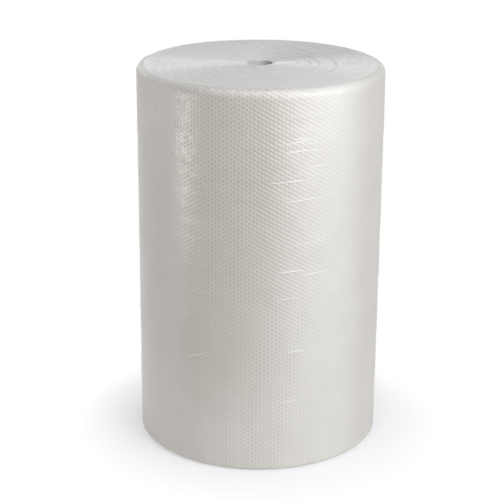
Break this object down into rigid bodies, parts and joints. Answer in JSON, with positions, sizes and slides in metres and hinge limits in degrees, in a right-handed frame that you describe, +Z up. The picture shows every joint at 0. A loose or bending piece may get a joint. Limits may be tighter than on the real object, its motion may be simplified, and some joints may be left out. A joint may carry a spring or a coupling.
{
  "type": "bubble wrap roll",
  "caption": "Wide roll of clear air bubble film, wound without a cardboard tube and standing on its end, with a round hole through its centre.",
  "frame": {"origin": "centre of the core hole at the lower end, on the floor", "axes": "+Z up along the core hole, -Y towards the side that the picture shows; the film's tail end lies at +Y"},
  "size_m": [0.6366, 0.6382, 1],
  "materials": {
    "bubble_film": "satin clear polyethylene film, milky where many turns lie together"
  },
  "bodies": {
    "root": {"bubble_film_roll": "bubble_film"}
  },
  "joints": []
}
